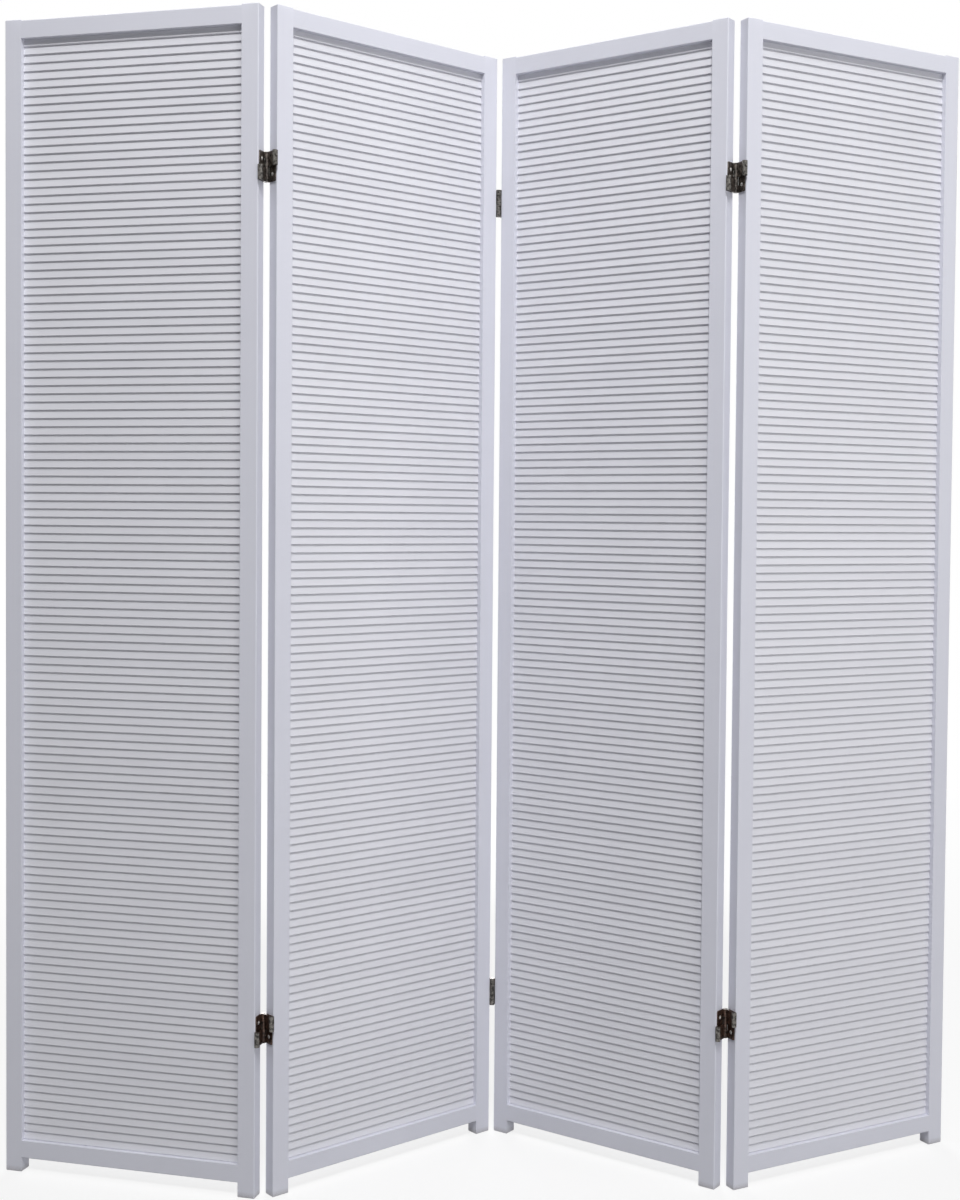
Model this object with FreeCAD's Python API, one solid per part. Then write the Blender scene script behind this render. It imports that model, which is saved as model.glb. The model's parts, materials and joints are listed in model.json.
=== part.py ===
import FreeCAD, Part
import math
import os

# Folding room divider of four painted wooden panels, each a stile-and-rail frame filled with lapped slats.
# Two-way hinges join the panels. As it stands, the outer two lines turn behind the panels, the middle one in front.
# Millimetres, +Z up, front towards -Y, origin on the floor under the middle of the standing screen.
# A panel is drawn in its own frame: X across its front from the left, Y into its depth, Z up from the floor.
# What a panel has on both sides is drawn for the left side and mirrored for the right.
# A hinge is drawn around its middle, in the gap of two panels in line: X to the right panel, Y into the depth, Z up.

# Panel frame
panel_width = 400.0
panel_height = 1700.0
frame_thickness = 20.0
stile_width = 26.0
top_rail_height = 26.0
bottom_rail_height = 26.0
foot_height = 21.0
stile_horn = 1.5
arris_width = 1.2

# Stub tenons of the rails, in mortises in the stiles
tenon_thickness = 8.0
tenon_length = 14.0
tenon_shoulder = 5.0
mortise_clearance = 0.1

# Slats, which lean back and lap, with their ends in a groove in each stile
slat_pitch = 12.05
slat_thickness = 2.6
slat_lap = 4.0
slat_film = 0.1
least_top_slat = 5.0
groove_depth = 6.0
groove_clearance = 0.15

# Two-way hinges: a leaf on each panel's edge, and two links that cross from leaf to leaf, rolled around four pins
hinge_height = 42.5
barrel_diameter = 7.6
barrel_flats = 8
leaf_thickness = 1.5
leaf_corner = 2.0
link_thickness = 1.5
knuckle_gap = 0.3
pin_clearance = 0.05
pivot_stand_off = 1.0

# Countersunk wood screws with a tapered shank, drawn with flat sides
screw_length = 12.5
screw_head_diameter = 5.6
screw_shank_diameter = 3.0
screw_clearance = 0.05
screw_sides = 6

# Heights of the hinges' middles
upper_hinge_drop = 226.0
outer_lower_hinge_rise = 242.0
middle_lower_hinge_rise = 224.0

# How the screen stands: the way panel 1 faces, and how far each hinge line is folded from flat
first_heading_deg = -13.9
left_fold_deg = 55.3
middle_fold_deg = 75.5
right_fold_deg = 63.2

# Sizes that follow from those above
opening_bottom = foot_height + bottom_rail_height
opening_top = panel_height - stile_horn - top_rail_height
opening_width = panel_width - 2 * stile_width
slat_lean = math.asin((slat_thickness + slat_film) / slat_pitch)
slat_width = slat_pitch * math.cos(slat_lean) + slat_lap
slat_depth = slat_width * math.sin(slat_lean) + slat_thickness * math.cos(slat_lean)
slat_front = (frame_thickness - slat_depth) / 2
slat_ceiling = opening_top - slat_film
slat_count = int((slat_ceiling - opening_bottom - least_top_slat) / slat_pitch) + 1
slat_housing = groove_depth - groove_clearance
barrel_radius = barrel_diameter / 2
bore_radius = barrel_radius - leaf_thickness
pin_radius = bore_radius - pin_clearance
pivot_reach = frame_thickness / 2 + pivot_stand_off
barrel_length = (hinge_height - knuckle_gap) / 2
knuckle_length = (barrel_length - knuckle_gap) / 2
sheet_reach = pivot_reach - barrel_radius - knuckle_gap
screw_rise = hinge_height / 4
screw_head_radius = screw_head_diameter / 2
screw_shank_radius = screw_shank_diameter / 2
screw_taper = screw_length - leaf_thickness

X_AXIS = FreeCAD.Vector(1, 0, 0)
Y_AXIS = FreeCAD.Vector(0, 1, 0)
Z_AXIS = FreeCAD.Vector(0, 0, 1)


def vector(x, y, z):
    return FreeCAD.Vector(x, y, z)


def block(low, high):
    """Box between its lowest and highest corner."""
    size = high - low
    return Part.makeBox(size.x, size.y, size.z, low)


def placed(shape, placement):
    """Copy of a shape, moved by a placement."""
    moved = shape.copy()
    moved.Placement = placement.multiply(moved.Placement)
    return moved


def half_turn(shape, axis):
    """Copy of a hinge's piece, turned half round about an axis through the hinge's middle."""
    return placed(shape, FreeCAD.Placement(vector(0, 0, 0), FreeCAD.Rotation(axis, 180)))


def other_hand(shape):
    """Mirror image of a panel's piece, for the other side of the panel."""
    return shape.mirror(vector(panel_width / 2, 0, 0), X_AXIS)


def tenon(rail_bottom, rail_height, clearance):
    """Tenon at a rail's left end, or with a clearance the mortise that takes it."""
    side = (frame_thickness - tenon_thickness) / 2 - clearance
    low = vector(stile_width - tenon_length - clearance, side, rail_bottom + tenon_shoulder - clearance)
    rail_top = rail_bottom + rail_height
    high = vector(stile_width, frame_thickness - side, rail_top - tenon_shoulder + clearance)
    return block(low, high)


def stile(screw_spots):
    """Left stile and its foot, with eased outer edges, a slat groove, two mortises and the screws' holes."""
    bar = block(vector(0, 0, 0), vector(stile_width, frame_thickness, panel_height))
    uprights = [e for e in bar.Edges if e.BoundBox.ZLength > panel_height / 2]
    bar = bar.makeChamfer(arris_width, [e for e in uprights if e.BoundBox.XMax < stile_width / 2])
    groove = block(
        vector(stile_width - groove_depth, slat_front - groove_clearance, opening_bottom),
        vector(stile_width, slat_front + slat_depth + groove_clearance, opening_top),
    )
    lower_mortise = tenon(foot_height, bottom_rail_height, mortise_clearance)
    upper_mortise = tenon(opening_top, top_rail_height, mortise_clearance)
    return bar.cut([groove, lower_mortise, upper_mortise] + [screw_hole().translated(s) for s in screw_spots])


def rail(rail_bottom, rail_height):
    """Rail between the stiles, with a stub tenon at each end."""
    low = vector(stile_width, 0, rail_bottom)
    high = vector(panel_width - stile_width, frame_thickness, rail_bottom + rail_height)
    end = tenon(rail_bottom, rail_height, 0)
    return block(low, high).fuse([end, other_hand(end)])


def lowest_slat():
    """Lath that leans back, with its heel on the bottom rail and its ends in the stiles' grooves."""
    heel = vector(
        stile_width - slat_housing,
        slat_front + slat_thickness * math.cos(slat_lean),
        opening_bottom + slat_film,
    )
    along = vector(0, math.sin(slat_lean), math.cos(slat_lean)) * slat_width
    through = vector(0, -math.cos(slat_lean), math.sin(slat_lean)) * slat_thickness
    outline = Part.makePolygon([heel, heel + along, heel + along + through, heel + through, heel])
    return Part.Face(outline).extrude(X_AXIS * (opening_width + 2 * slat_housing))


def slats():
    """Stack of slats, each lapping the one below, ripped where it reaches the top rail."""
    first = lowest_slat()
    room = block(vector(0, 0, opening_bottom), vector(panel_width, frame_thickness, slat_ceiling))
    stack = []
    for number in range(slat_count):
        slat = first.translated(Z_AXIS * (slat_pitch * number))
        if slat.BoundBox.ZMax > slat_ceiling:
            slat = slat.common(room).Solids[0]
        stack.append(slat)
    return Part.makeCompound(stack)


def ring(radius, x):
    """Outline of a screw at one place along it."""
    turns = [2 * math.pi * side / screw_sides for side in range(screw_sides + 1)]
    return Part.makePolygon([vector(x, radius * math.cos(turn), radius * math.sin(turn)) for turn in turns])


def tip(x):
    """Point of a screw."""
    return Part.Vertex(vector(x, 0, 0))


def screw():
    """Countersunk screw driven along +X, its head flush with a leaf that lies on the wood at X = 0."""
    head = ring(screw_head_radius, -leaf_thickness)
    return Part.makeLoft([head, ring(screw_shank_radius, 0), tip(screw_taper)], True, True)


def screw_hole():
    """Hole that the screw's tapered shank makes in the wood."""
    mouth = screw_shank_radius + screw_clearance
    return Part.makeLoft([ring(mouth, 0), tip(screw_taper * mouth / screw_shank_radius)], True, True)


def countersink():
    """Hole through a leaf for the screw's head."""
    outer = ring(screw_head_radius + screw_clearance, -leaf_thickness)
    return Part.makeLoft([outer, ring(screw_shank_radius + screw_clearance, 0)], True, True)


def flat_sided(radius, length, foot):
    """Upright round bar drawn with flats, with its corners at the radius."""
    turns = [2 * math.pi * flat / barrel_flats for flat in range(barrel_flats + 1)]
    corners = [foot + vector(math.cos(turn), math.sin(turn), 0) * radius for turn in turns]
    return Part.Face(Part.makePolygon(corners)).extrude(Z_AXIS * length)


def rolled(tongue, foot):
    """Tongue of a leaf or link, rolled into a knuckle whose flats leave the bore clear for its pin."""
    bore = flat_sided(bore_radius / math.cos(math.pi / barrel_flats), knuckle_length, foot)
    return tongue.fuse(flat_sided(barrel_radius, knuckle_length, foot)).cut(bore)


def leaf():
    """Leaf on the right panel's edge, with a knuckle at the head of its front edge and at the foot of its rear edge."""
    half_height = hinge_height / 2
    sheet = block(vector(bore_radius, -sheet_reach, -half_height), vector(barrel_radius, sheet_reach, half_height))
    corners = [e for e in sheet.Edges if e.BoundBox.XLength > leaf_thickness / 2]
    sheet = sheet.makeChamfer(leaf_corner, [e for e in corners if e.CenterOfMass.y * e.CenterOfMass.z > 0])
    foot = vector(0, -pivot_reach, half_height - knuckle_length)
    tongue = block(vector(bore_radius, foot.y, foot.z), vector(barrel_radius, -sheet_reach, half_height))
    knuckle = rolled(tongue, foot)
    body = sheet.fuse([knuckle, half_turn(knuckle, X_AXIS)]).removeSplitter()
    rises = (-screw_rise, screw_rise)
    return body.cut([countersink().translated(vector(barrel_radius, 0, rise)) for rise in rises])


def link():
    """Link in the hinge's upper half, from the left leaf's rear knuckle across to the right leaf's front knuckle."""
    side = link_thickness / 2
    foot = vector(0, -pivot_reach, knuckle_gap / 2)
    sheet = block(vector(-side, -sheet_reach, foot.z), vector(side, sheet_reach, hinge_height / 2))
    tongue = block(vector(-side, foot.y, foot.z), vector(side, -sheet_reach, foot.z + knuckle_length))
    knuckle = rolled(tongue, foot)
    return sheet.fuse([knuckle, half_turn(knuckle, Z_AXIS)]).removeSplitter()


def turning_pin():
    """Pin in the right leaf's front barrel, when the hinge turns on it."""
    return Part.makeCylinder(pin_radius, barrel_length, vector(0, -pivot_reach, knuckle_gap / 2))


def idle_pin():
    """Pin in the right leaf's front barrel, drawn with flats, when that barrel stays shut."""
    return flat_sided(pin_radius, barrel_length, vector(0, -pivot_reach, knuckle_gap / 2))


class HingeLine:
    """Upper and lower hinge between two panels, which turn about their rear or their front pins in this fold."""

    def __init__(self, name, behind, fold_deg, lower_rise):
        self.name = name
        self.behind = behind
        self.turn_deg = fold_deg if behind else -fold_deg
        self.axis_depth = frame_thickness + pivot_stand_off if behind else -pivot_stand_off
        self.heights = (lower_rise, panel_height - upper_hinge_drop)

    def hung(self, pieces, middle_x):
        """Pieces of a hinge, at both hinges of the line, with the hinges' middles at that X of a panel."""
        middles = [vector(middle_x, frame_thickness / 2, height) for height in self.heights]
        return Part.makeCompound([piece.translated(middle) for middle in middles for piece in pieces])

    def edge_pieces(self):
        """What a hinge has on the right panel's edge, by kind. Turned over, it is what the left panel's edge has."""
        return {
            "hinge_leaves": leaf(),
            "hinge_links": link() if self.behind else half_turn(link(), Y_AXIS),
            "hinge_idle_pins": idle_pin() if self.behind else half_turn(idle_pin(), X_AXIS),
        }

    def turning_pins(self):
        """The two pins of a hinge that it turns on, one above the other."""
        pins = [turning_pin(), half_turn(turning_pin(), Y_AXIS)]
        return [half_turn(pin, Z_AXIS) for pin in pins] if self.behind else pins

    def screw_spots(self):
        """Where the line's screws enter a panel's left edge, in the middle of each half of a leaf."""
        rises = (-screw_rise, screw_rise)
        return [vector(0, frame_thickness / 2, height + rise) for height in self.heights for rise in rises]

    def screws(self):
        """All screws of the line in one panel's left edge."""
        return Part.makeCompound([screw().translated(spot) for spot in self.screw_spots()])


LINES = (
    HingeLine("left", True, left_fold_deg, outer_lower_hinge_rise),
    HingeLine("middle", False, middle_fold_deg, middle_lower_hinge_rise),
    HingeLine("right", True, right_fold_deg, outer_lower_hinge_rise),
)


def panel(number, line_on_left, line_on_right):
    """Nodes of one panel, in its own frame, with what the hinge lines on its edges fasten to it."""
    name = f"panel_{number}"
    left_spots = line_on_left.screw_spots() if line_on_left else []
    right_spots = line_on_right.screw_spots() if line_on_right else []
    pieces = {
        f"{name}_left_stile": stile(left_spots),
        f"{name}_right_stile": other_hand(stile(right_spots)),
        f"{name}_bottom_rail": rail(foot_height, bottom_rail_height),
        f"{name}_top_rail": rail(opening_top, top_rail_height),
        f"{name}_slats": slats(),
    }
    if line_on_left:
        for kind, piece in line_on_left.edge_pieces().items():
            pieces[f"{name}_left_{kind}"] = line_on_left.hung([piece], -barrel_radius)
        pieces[f"{name}_left_hinge_screws"] = line_on_left.screws()
    if line_on_right:
        middle_x = panel_width + barrel_radius
        for kind, piece in line_on_right.edge_pieces().items():
            pieces[f"{name}_right_{kind}"] = line_on_right.hung([half_turn(piece, Y_AXIS)], middle_x)
        pieces[f"{name}_right_hinge_screws"] = other_hand(line_on_right.screws())
        pieces[f"{line_on_right.name}_hinge_pins"] = line_on_right.hung(line_on_right.turning_pins(), middle_x)
    return pieces


def standing():
    """Placement of each panel, and the axis of each hinge line, as the screen stands."""
    heading_deg = first_heading_deg
    placements = [FreeCAD.Placement(vector(0, 0, 0), FreeCAD.Rotation(Z_AXIS, heading_deg))]
    axes = []
    for line in LINES:
        axis = placements[-1].multVec(vector(panel_width + barrel_radius, line.axis_depth, 0))
        heading_deg += line.turn_deg
        turn = FreeCAD.Rotation(Z_AXIS, heading_deg)
        corner = axis - turn.multVec(vector(-barrel_radius, line.axis_depth, 0))
        placements.append(FreeCAD.Placement(corner, turn))
        axes.append(axis)
    return placements, axes


def main():
    os.makedirs("parts", exist_ok=True)
    placements, axes = standing()
    nodes = {}
    for index, placement in enumerate(placements):
        line_on_left = LINES[index - 1] if index > 0 else None
        line_on_right = LINES[index] if index < len(LINES) else None
        for name, shape in panel(index + 1, line_on_left, line_on_right).items():
            nodes[name] = placed(shape, placement)
    box = Part.makeCompound(list(nodes.values())).BoundBox
    to_origin = vector(-box.Center.x, -box.Center.y, -box.ZMin)
    for name, shape in nodes.items():
        shape.translated(to_origin).exportStep(f"parts/{name}.step")
    for line, axis in zip(LINES, axes):
        middle = axis + to_origin
        print(f"{line.name} hinge line: axis at X {middle.x:.4f}, Y {middle.y:.4f}")


main()
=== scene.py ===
"""Folding room divider: four white panels of lapped slats, hung on two-way hinges of dark bronzed steel."""
import json
import logging
import math
import random
from collections.abc import Iterable
from dataclasses import dataclass
from enum import Enum

import bmesh
import bpy
from bmesh.types import BMEdge, BMesh, BMFace, BMVert
from mathutils import Matrix, Vector


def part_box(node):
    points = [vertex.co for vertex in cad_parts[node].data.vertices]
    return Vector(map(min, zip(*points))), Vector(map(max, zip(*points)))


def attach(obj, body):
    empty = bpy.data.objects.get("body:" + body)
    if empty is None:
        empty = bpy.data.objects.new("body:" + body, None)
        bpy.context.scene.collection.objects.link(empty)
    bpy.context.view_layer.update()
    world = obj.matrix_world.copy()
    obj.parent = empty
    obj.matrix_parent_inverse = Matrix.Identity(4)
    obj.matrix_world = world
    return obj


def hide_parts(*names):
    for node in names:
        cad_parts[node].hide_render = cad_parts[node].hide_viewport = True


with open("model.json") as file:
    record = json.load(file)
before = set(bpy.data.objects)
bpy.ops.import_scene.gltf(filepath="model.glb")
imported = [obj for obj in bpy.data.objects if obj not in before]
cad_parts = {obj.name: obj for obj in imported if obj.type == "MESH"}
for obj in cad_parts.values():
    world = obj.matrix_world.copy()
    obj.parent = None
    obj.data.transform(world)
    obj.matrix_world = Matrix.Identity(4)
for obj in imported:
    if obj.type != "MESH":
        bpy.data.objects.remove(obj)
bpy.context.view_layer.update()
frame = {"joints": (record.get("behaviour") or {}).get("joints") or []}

log = logging.getLogger("room_divider")

Socket = bpy.types.NodeSocket
Colour = tuple[float, float, float]
Place = tuple[float, float, float]
Span = tuple[float, float]

MM = 0.001
TOUCH = 0.01 * MM
ACROSS = Vector((1.0, 0.0, 0.0))
DEEP = Vector((0.0, 1.0, 0.0))
UP = Vector((0.0, 0.0, 1.0))
WHITE = (1.0, 1.0, 1.0, 1.0)
NOISE_MIDDLE = (0.3, 0.7)
NOISE_ROUGHNESS = 0.55


class Side(Enum):
    """The edge of a panel, seen from the front."""

    LEFT = "left"
    RIGHT = "right"


class RailLevel(Enum):
    """Which of a panel's two rails."""

    BOTTOM = "bottom"
    TOP = "top"


class Brush(Enum):
    """The way that the paint was laid off, in the panel's own directions."""

    UPRIGHT = "upright"
    LEVEL = "level"


class Pivot(Enum):
    """The side of the screen on which a hinge line turns as the screen stands."""

    FRONT = "front"
    BEHIND = "behind"


class Slot(Enum):
    """The material slots of the record."""

    PAINT = "white_paint"
    BRONZE = "bronzed_steel"
    SCREW = "screw_steel"


def on_planes(points: Iterable[Vector], **planes: float) -> bool:
    """Say whether all points lie on the given planes.

    Args:
        points: The points to test.
        **planes: A place on the x, y or z axis, by the axis's name.

    Returns:
        True where every point lies on every plane.
    """
    return all(
        abs(getattr(point, axis) - place) < TOUCH for point in points for axis, place in planes.items()
    )


def faces_on(mesh: BMesh, **planes: float) -> list[BMFace]:
    """Return the faces of a mesh that lie on the given planes."""
    return [face for face in mesh.faces if on_planes((vert.co for vert in face.verts), **planes)]


def edges_on(mesh: BMesh, **planes: float) -> list[BMEdge]:
    """Return the edges of a mesh that lie on the given planes."""
    return [edge for edge in mesh.edges if on_planes((vert.co for vert in edge.verts), **planes)]


def centred_between(faces: Iterable[BMFace], axis: Vector, low: float, high: float) -> list[BMFace]:
    """Return the faces whose middle lies between two places along an axis."""
    return [face for face in faces if low < face.calc_center_median().dot(axis) < high]


def block(mesh: BMesh, low: Vector, high: Vector) -> list[BMVert]:
    """Add a box to a mesh.

    Args:
        mesh: The mesh to add to.
        low: The box's lowest corner.
        high: The box's highest corner.

    Returns:
        The box's corners.
    """
    corners = bmesh.ops.create_cube(mesh, size=1.0)["verts"]
    bmesh.ops.scale(mesh, vec=high - low, verts=corners)
    bmesh.ops.translate(mesh, vec=(low + high) / 2.0, verts=corners)
    return corners


def score(mesh: BMesh, faces: list[BMFace], axis: Vector, places: Iterable[float]) -> list[BMFace]:
    """Score faces square to an axis, so that they end at the given places.

    Args:
        mesh: The mesh that holds the faces.
        faces: The faces to score.
        axis: The direction along which the places are measured.
        places: Where the score lines lie.

    Returns:
        The faces between the score lines.
    """
    edges = [edge for face in faces for edge in face.edges]
    verts = [vert for face in faces for vert in face.verts]
    pieces = list(dict.fromkeys([*faces, *edges, *verts]))
    for place in places:
        cut = bmesh.ops.bisect_plane(mesh, geom=pieces, dist=TOUCH, plane_co=axis * place, plane_no=axis)
        pieces = cut["geom"]
    return [piece for piece in pieces if isinstance(piece, BMFace)]


def draw_out(mesh: BMesh, faces: list[BMFace], way: Vector) -> list[BMFace]:
    """Draw faces out of the work, or into it.

    Args:
        mesh: The mesh that holds the faces.
        faces: The faces to move.
        way: How far, and in which direction.

    Returns:
        The faces at their new place.
    """
    made = bmesh.ops.extrude_face_region(mesh, geom=faces)["geom"]
    bmesh.ops.translate(mesh, vec=way, verts=[piece for piece in made if isinstance(piece, BMVert)])
    return [piece for piece in made if isinstance(piece, BMFace)]


def ease(mesh: BMesh, places: list, radius: float, segments: int, affect: str = "EDGES") -> None:
    """Round edges over to a radius, or the corners of a flat outline."""
    bmesh.ops.bevel(
        mesh,
        geom=places,
        offset=radius,
        offset_type="OFFSET",
        affect=affect,
        segments=segments,
        profile=0.5,
        material=-1,
        clamp_overlap=affect == "EDGES",
    )


def turn_full(mesh: BMesh, outline: list, centre: Vector, steps: int) -> None:
    """Turn an outline right round an upright axis.

    Args:
        mesh: The mesh that holds the outline.
        outline: The outline's corners and edges.
        centre: A point on the axis.
        steps: How many sides the turned shape has.
    """
    bmesh.ops.spin(
        mesh,
        geom=outline,
        cent=centre,
        axis=UP,
        angle=2.0 * math.pi,
        steps=steps,
        use_merge=True,
        use_duplicate=False,
    )


def half_turn(axis: Vector) -> Matrix:
    """Return the half turn about an axis through the origin."""
    return Matrix.Rotation(math.pi, 4, axis)


def add_turned(mesh: BMesh, shape: BMesh, place: Matrix, tone: float) -> None:
    """Add a copy of a shape to a mesh.

    Args:
        mesh: The mesh to add to, which has a layer for the tone.
        shape: The shape to copy, which stays as it is.
        place: Where the copy goes.
        tone: The copy's own tone: a random lightness on the laths, a painted reflection on the upper
            hinges.
    """
    already = len(mesh.verts)
    copy = bpy.data.meshes.new("copy")
    shape.to_mesh(copy)
    copy.transform(place)
    mesh.from_mesh(copy)
    bpy.data.meshes.remove(copy)
    layer = mesh.verts.layers.float["tone_and_sheen"]
    mesh.verts.ensure_lookup_table()
    for vert in mesh.verts[already:]:
        vert[layer] = tone


@dataclass(frozen=True)
class NodeBench:
    """A node tree, with short calls that add and wire its nodes."""

    tree: bpy.types.NodeTree

    def add(self, kind: str, values: dict[str, object] | None = None, **settings: object) -> bpy.types.Node:
        """Add a node.

        Args:
            kind: The node's type.
            values: Values for its input sockets, by name.
            **settings: Values for its own properties.

        Returns:
            The new node.
        """
        node = self.tree.nodes.new(kind)
        for name, value in settings.items():
            setattr(node, name, value)
        for name, value in (values or {}).items():
            node.inputs[name].default_value = value
        return node

    def wire(self, source: Socket, target: Socket) -> None:
        """Wire an output socket to an input socket."""
        self.tree.links.new(source, target)

    def attribute(self, name: str, output: str) -> Socket:
        """Read one of the piece's own attributes and return the socket that gives it."""
        return self.add("ShaderNodeAttribute", attribute_name=name).outputs[output]

    def noise(self, place: Socket, scale: Place, detail: float) -> Socket:
        """Add noise that is stretched along the axes.

        Args:
            place: The socket that gives the place on the piece.
            scale: Grains to the metre along x, y and z.
            detail: How many finer layers the noise has.

        Returns:
            The socket that gives the noise.
        """
        mapping = self.add("ShaderNodeMapping", {"Scale": scale})
        values = {"Scale": 1.0, "Detail": detail, "Roughness": NOISE_ROUGHNESS}
        grains = self.add("ShaderNodeTexNoise", values)
        self.wire(place, mapping.inputs["Vector"])
        self.wire(mapping.outputs["Vector"], grains.inputs["Vector"])
        return grains.outputs["Fac"]

    def mapped(self, source: Socket, start: float, end: float, low: float, high: float) -> Socket:
        """Map the values from start to end to those from low to high, and return the new socket."""
        ends = {"From Min": start, "From Max": end, "To Min": low, "To Max": high}
        node = self.add("ShaderNodeMapRange", ends)
        self.wire(source, node.inputs["Value"])
        return node.outputs["Result"]

    def between(self, noise: Socket, low: float, high: float) -> Socket:
        """Map the middle of a noise's range to a range of values, and return the new socket."""
        return self.mapped(noise, *NOISE_MIDDLE, low, high)

    def worked_out(self, operation: str, *sources: Socket) -> Socket:
        """Work out a value from one or two others and return the socket that gives it."""
        node = self.add("ShaderNodeMath", operation=operation)
        for source, target in zip(sources, node.inputs):
            self.wire(source, target)
        return node.outputs["Value"]

    def shaded(self, factor: Socket, dark: Colour, light: Colour) -> Socket:
        """Run from one colour to another and return the socket that gives the colour."""
        ramp = self.add("ShaderNodeValToRGB")
        ramp.color_ramp.elements[0].color = (*dark, 1.0)
        ramp.color_ramp.elements[1].color = (*light, 1.0)
        self.wire(factor, ramp.inputs["Fac"])
        return ramp.outputs["Color"]

    def mixed(self, factor: Socket, first: Socket, second: Socket) -> Socket:
        """Mix two shaders and return the socket that gives the mixture."""
        node = self.add("ShaderNodeMixShader")
        for source, target in zip((factor, first, second), node.inputs):
            self.wire(source, target)
        return node.outputs["Shader"]

    def roughen(self, shader: bpy.types.Node, height: Socket, strength: float, depth: float) -> None:
        """Give a shader a fine relief.

        Args:
            shader: The shader.
            height: The socket that gives the relief's height, from 0 to 1.
            strength: How much of the relief shows.
            depth: The relief's depth.
        """
        bump = self.add("ShaderNodeBump", {"Strength": strength, "Distance": depth})
        self.wire(height, bump.inputs["Height"])
        self.wire(bump.outputs["Normal"], shader.inputs["Normal"])

    def seen_ray(self) -> Socket:
        """Add the test for rays that show a surface, and return the socket that is 1 for them."""
        ray = self.add("ShaderNodeLightPath").outputs
        direct = self.worked_out("MAXIMUM", ray["Is Camera Ray"], ray["Is Glossy Ray"])
        return self.worked_out("MAXIMUM", direct, ray["Is Transmission Ray"])


def surface(name: str) -> tuple[bpy.types.Material, NodeBench, bpy.types.Node]:
    """Start a material.

    Args:
        name: The material's name.

    Returns:
        The material, its node bench and its shader.
    """
    material = bpy.data.materials.new(name)
    material.use_nodes = True
    bench = NodeBench(material.node_tree)
    shader = next(node for node in material.node_tree.nodes if node.type == "BSDF_PRINCIPLED")
    return material, bench, shader


@dataclass(frozen=True)
class PaintFinish:
    """White satin paint, brushed out along a board, a little uneven from board to board."""

    use: str
    brush: Brush
    shade: Colour
    light: Colour
    bristle_width: float = 0.9 * MM
    stroke_length: float = 160 * MM
    bristle_tone: float = 0.08
    bristle_relief: float = 0.7
    cloud_size: float = 130 * MM
    cloud_tone: float = 0.15
    stipple_size: float = 1.1 * MM
    stipple_relief: float = 0.3
    roughness: Span = (0.40, 0.52)
    coat_depth: float = 0.05 * MM
    coat_strength: float = 0.5
    # Darker patches on the lowest few millimetres of the stiles, towards the floor.
    dark_foot_height: float = 0.0
    foot_dark: Colour = (0.33, 0.30, 0.29)
    foot_dark_patches: Span = (0.1, 0.9)

    def make(self) -> bpy.types.Material:
        """Return the paint as a material."""
        material, bench, shader = surface(f"{self.use}_paint")
        place = bench.attribute("panel_place", "Vector")
        tone = bench.attribute("tone_and_sheen", "Fac")
        across = 1.0 / self.bristle_width
        along = 1.0 / self.stroke_length
        stroke = (across, across, along) if self.brush is Brush.UPRIGHT else (along, across, across)
        bristles = bench.noise(place, stroke, detail=3.0)
        clouds = bench.noise(place, (1.0 / self.cloud_size,) * 3, detail=4.0)
        stipple = bench.noise(place, (1.0 / self.stipple_size,) * 3, detail=2.0)
        cloudy = bench.between(clouds, 0.5 - self.cloud_tone, 0.5 + self.cloud_tone)
        streaks = bench.between(bristles, -self.bristle_tone, self.bristle_tone)
        evenness = bench.worked_out("ADD", bench.worked_out("ADD", cloudy, tone), streaks)
        colour = bench.shaded(evenness, self.shade, self.light)
        if self.dark_foot_height:
            colour = self.darkened_at_foot(bench, place, stipple, colour)
        bench.wire(colour, shader.inputs["Base Color"])
        bench.wire(bench.between(clouds, *self.roughness), shader.inputs["Roughness"])
        strokes = bench.between(bristles, 0.0, self.bristle_relief)
        dots = bench.between(stipple, 0.0, self.stipple_relief)
        bench.roughen(shader, bench.worked_out("ADD", strokes, dots), self.coat_strength, self.coat_depth)
        return material

    def darkened_at_foot(self, bench: NodeBench, place: Socket, stipple: Socket, colour: Socket) -> Socket:
        """Darken the paint in patches towards the floor.

        Args:
            bench: The node bench of the material.
            place: The socket that gives the place on the piece.
            stipple: The socket that gives the paint's stipple.
            colour: The socket that gives the paint's colour above the darkening.

        Returns:
            The socket that gives the colour, darkened towards the floor.
        """
        split = bench.add("ShaderNodeSeparateXYZ")
        bench.wire(place, split.inputs["Vector"])
        low = bench.mapped(split.outputs["Z"], 0.0, self.dark_foot_height, 1.0, 0.0)
        patches = bench.between(stipple, *self.foot_dark_patches)
        blend = bench.add("ShaderNodeMixRGB", {"Color2": (*self.foot_dark, 1.0)})
        bench.wire(bench.worked_out("MULTIPLY", low, patches), blend.inputs["Fac"])
        bench.wire(colour, blend.inputs["Color1"])
        return blend.outputs["Color"]


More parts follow.
